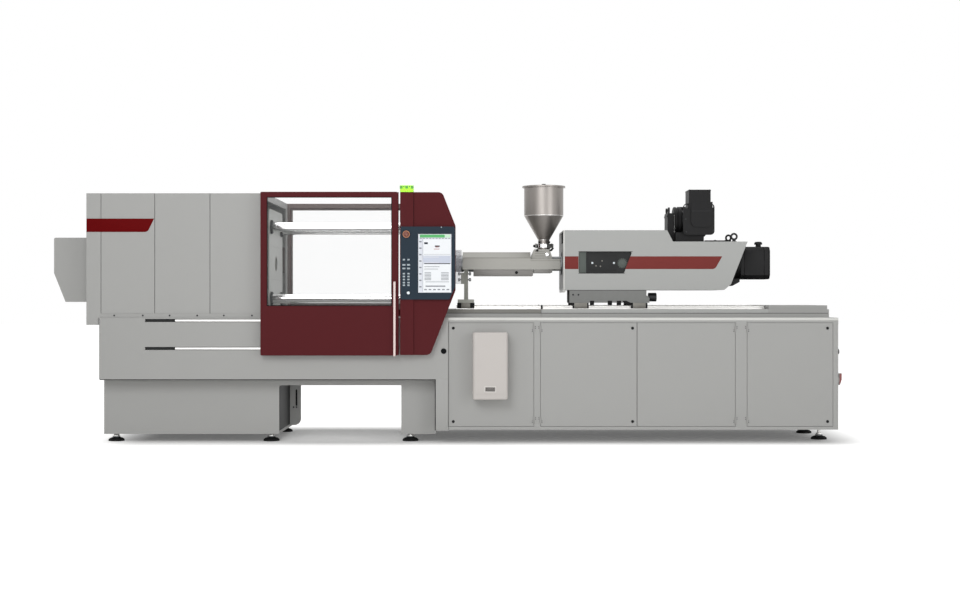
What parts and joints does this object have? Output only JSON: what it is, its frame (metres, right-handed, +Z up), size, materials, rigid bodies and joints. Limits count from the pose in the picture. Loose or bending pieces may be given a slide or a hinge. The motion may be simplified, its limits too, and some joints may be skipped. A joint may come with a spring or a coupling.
{
  "type": "injection moulding machine",
  "caption": "Horizontal injection moulding machine with a toggle clamp, sliding safety doors, control column and rail-mounted injection unit.",
  "frame": {"origin": "centre of the machine's footprint at floor level", "axes": "+X from the clamp to the injection unit, -Y the operator's side, +Z up"},
  "size_m": [6.463, 1.695, 2.162],
  "materials": {
    "cover_paint": "satin",
    "bed_paint": "satin",
    "unit_paint": "satin",
    "guard_red": "satin",
    "platen_paint": "satin",
    "bright_chrome": "polished",
    "ground_steel": "ground",
    "forged_steel": "machined",
    "cast_carriage": "painted",
    "foot_black": "matte",
    "motor_black": "satin",
    "panel_slate": "matte",
    "screen_glass": "lit",
    "clear_pane": "clear",
    "lamp_lime": "translucent",
    "button_red": "gloss",
    "button_white": "gloss",
    "cooler_white": "textured",
    "stainless": "brushed",
    "module_grey": "matte",
    "switch_grey": "gloss"
  },
  "bodies": {
    "frame": {"machine_bed": "bed_paint", "pedestals": "bed_paint", "levelling_feet": "foot_black", "clamp_side_covers": "cover_paint", "clamp_cover_top": "cover_paint", "clamp_end_covers": "cover_paint", "end_platen": "platen_paint", "fixed_platen": "platen_paint", "tie_bars": "bright_chrome", "tie_bar_nuts": "forged_steel", "clamp_motor": "motor_black", "door_rails": "ground_steel", "guard_post_rear": "guard_red", "control_column": "guard_red", "control_panel": "panel_slate", "touch_screen": "screen_glass", "signal_lamp": "lamp_lime", "cabinet_frame": "bed_paint", "drive_modules": "module_grey", "rail_bed": "bed_paint", "linear_rails": "ground_steel"},
    "moving_platen": {"moving_platen": "platen_paint"},
    "toggle_rear_upper": {"toggle_rear_link_upper": "forged_steel"},
    "toggle_rear_lower": {"toggle_rear_link_lower": "forged_steel"},
    "toggle_front_upper": {"toggle_front_link_upper": "forged_steel"},
    "toggle_front_lower": {"toggle_front_link_lower": "forged_steel"},
    "crosshead": {"crosshead": "forged_steel"},
    "crosshead_link_upper": {"crosshead_link_upper": "forged_steel"},
    "crosshead_link_lower": {"crosshead_link_lower": "forged_steel"},
    "clamp_ball_screw": {"clamp_ball_screw": "ground_steel"},
    "ejector": {"ejector_rod": "ground_steel"},
    "front_door": {"door_front_frame": "guard_red", "door_front_pane": "clear_pane", "door_front_handle": "ground_steel"},
    "rear_door": {"door_rear_frame": "guard_red", "door_rear_pane": "clear_pane", "door_rear_handle": "ground_steel"},
    "emergency_stop": {"emergency_stop": "button_red"},
    "start_button": {"start_button": "button_white"},
    "main_switch": {"main_switch": "switch_grey"},
    "cabinet_door_1": {"cabinet_door_1": "bed_paint", "cooling_unit": "cooler_white"},
    "cabinet_door_2": {"cabinet_door_2": "bed_paint"},
    "cabinet_door_3": {"cabinet_door_3": "bed_paint"},
    "cabinet_door_4": {"cabinet_door_4": "bed_paint"},
    "injection_unit": {"carriage": "cast_carriage", "injection_frame": "cast_carriage", "injection_side_covers": "unit_paint", "injection_cover_top": "unit_paint", "barrel": "ground_steel", "barrel_guard": "stainless", "barrel_support": "cast_carriage", "feed_throat": "stainless", "hopper": "stainless", "top_motor": "motor_black", "rear_motor": "motor_black"},
    "pressure_plate": {"pressure_plate": "forged_steel"},
    "plasticising_screw": {"plasticising_screw": "ground_steel"},
    "hopper_lid": {"hopper_lid": "stainless"},
    "purge_guard": {"purge_guard": "clear_pane"}
  },
  "joints": [
    {"name": "clamp_stroke", "type": "slide", "parent": "frame", "child": "moving_platen", "axis": [1, 0, 0], "range_m": [0, 0.45]},
    {"name": "toggle_rear_upper", "type": "hinge", "parent": "frame", "child": "toggle_rear_upper", "pos_m": [-1.905, 0, 1.877], "axis": [0, -1, 0], "range_deg": [0, 75.54]},
    {"name": "toggle_rear_lower", "type": "hinge", "parent": "frame", "child": "toggle_rear_lower", "pos_m": [-1.905, 0, 1.077], "axis": [0, 1, 0], "range_deg": [0, 75.54]},
    {"name": "toggle_front_upper", "type": "hinge", "parent": "moving_platen", "child": "toggle_front_upper", "pos_m": [-1.755, 0, 1.877], "axis": [0, 1, 0], "range_deg": [0, 75.54]},
    {"name": "toggle_front_lower", "type": "hinge", "parent": "moving_platen", "child": "toggle_front_lower", "pos_m": [-1.755, 0, 1.077], "axis": [0, -1, 0], "range_deg": [0, 75.54]},
    {"name": "crosshead_stroke", "type": "slide", "parent": "frame", "child": "crosshead", "axis": [1, 0, 0], "range_m": [0, 0.3352]},
    {"name": "crosshead_link_upper", "type": "hinge", "parent": "crosshead", "child": "crosshead_link_upper", "pos_m": [-2.13679, 0, 1.587], "axis": [0, -1, 0], "range_deg": [0, 52.5]},
    {"name": "crosshead_link_lower", "type": "hinge", "parent": "crosshead", "child": "crosshead_link_lower", "pos_m": [-2.13679, 0, 1.367], "axis": [0, 1, 0], "range_deg": [0, 52.5]},
    {"name": "ball_screw_turn", "type": "hinge", "parent": "frame", "child": "clamp_ball_screw", "pos_m": [-2, 0, 1.477], "axis": [1, 0, 0], "range_deg": [0, 3014.78]},
    {"name": "ejector_stroke", "type": "slide", "parent": "moving_platen", "child": "ejector", "axis": [1, 0, 0], "range_m": [0, 0.12]},
    {"name": "front_door_slide", "type": "slide", "parent": "frame", "child": "front_door", "axis": [-1, 0, 0], "range_m": [0, 0.93]},
    {"name": "rear_door_slide", "type": "slide", "parent": "frame", "child": "rear_door", "axis": [-1, 0, 0], "range_m": [0, 0.93]},
    {"name": "emergency_stop_press", "type": "slide", "parent": "frame", "child": "emergency_stop", "axis": [0, 1, 0], "range_m": [0, 0.004]},
    {"name": "start_button_press", "type": "slide", "parent": "frame", "child": "start_button", "axis": [0, 1, 0], "range_m": [0, 0.0025], "stiffness_N_per_m": 800},
    {"name": "main_switch_turn", "type": "hinge", "parent": "frame", "child": "main_switch", "pos_m": [3.2, -0.645, 0.52], "axis": [1, 0, 0], "range_deg": [0, 90]},
    {"name": "cabinet_door_1_swing", "type": "hinge", "parent": "frame", "child": "cabinet_door_1", "pos_m": [0.7125, -0.7055, 0.56], "axis": [0, 0, 1], "range_deg": [0, 90]},
    {"name": "cabinet_door_2_swing", "type": "hinge", "parent": "frame", "child": "cabinet_door_2", "pos_m": [0.7665, -0.7055, 0.56], "axis": [0, 0, 1], "range_deg": [-110, 0]},
    {"name": "cabinet_door_3_swing", "type": "hinge", "parent": "frame", "child": "cabinet_door_3", "pos_m": [2.3505, -0.7055, 0.56], "axis": [0, 0, 1], "range_deg": [0, 110]},
    {"name": "cabinet_door_4_swing", "type": "hinge", "parent": "frame", "child": "cabinet_door_4", "pos_m": [2.4465, -0.7055, 0.56], "axis": [0, 0, 1], "range_deg": [-110, 0]},
    {"name": "injection_unit_travel", "type": "slide", "parent": "frame", "child": "injection_unit", "axis": [1, 0, 0], "range_m": [0, 0.35]},
    {"name": "injection_stroke", "type": "slide", "parent": "injection_unit", "child": "pressure_plate", "axis": [1, 0, 0], "range_m": [0, 0.18]},
    {"name": "screw_turn", "type": "hinge", "parent": "pressure_plate", "child": "plasticising_screw", "pos_m": [0, 0, 1.477], "axis": [1, 0, 0], "continuous": true},
    {"name": "hopper_lid_lift", "type": "slide", "parent": "injection_unit", "child": "hopper_lid", "axis": [0, 0, 1], "range_m": [0, 0.15]},
    {"name": "purge_guard_swing", "type": "hinge", "parent": "frame", "child": "purge_guard", "pos_m": [0, 0.156, 1.593], "axis": [-1, 0, 0], "range_deg": [0, 100]}
  ],
  "couplings": [
    {"joint": "toggle_rear_upper", "follows": "clamp_stroke", "rad_per_m": 2.9291},
    {"joint": "toggle_rear_lower", "follows": "clamp_stroke", "rad_per_m": 2.9291},
    {"joint": "toggle_front_upper", "follows": "clamp_stroke", "rad_per_m": 2.9291},
    {"joint": "toggle_front_lower", "follows": "clamp_stroke", "rad_per_m": 2.9291},
    {"joint": "crosshead_stroke", "follows": "clamp_stroke", "ratio": 0.74438},
    {"joint": "crosshead_link_upper", "follows": "clamp_stroke", "rad_per_m": 2.0353},
    {"joint": "crosshead_link_lower", "follows": "clamp_stroke", "rad_per_m": 2.0353},
    {"joint": "ball_screw_turn", "follows": "clamp_stroke", "rad_per_m": 116.93}
  ]
}
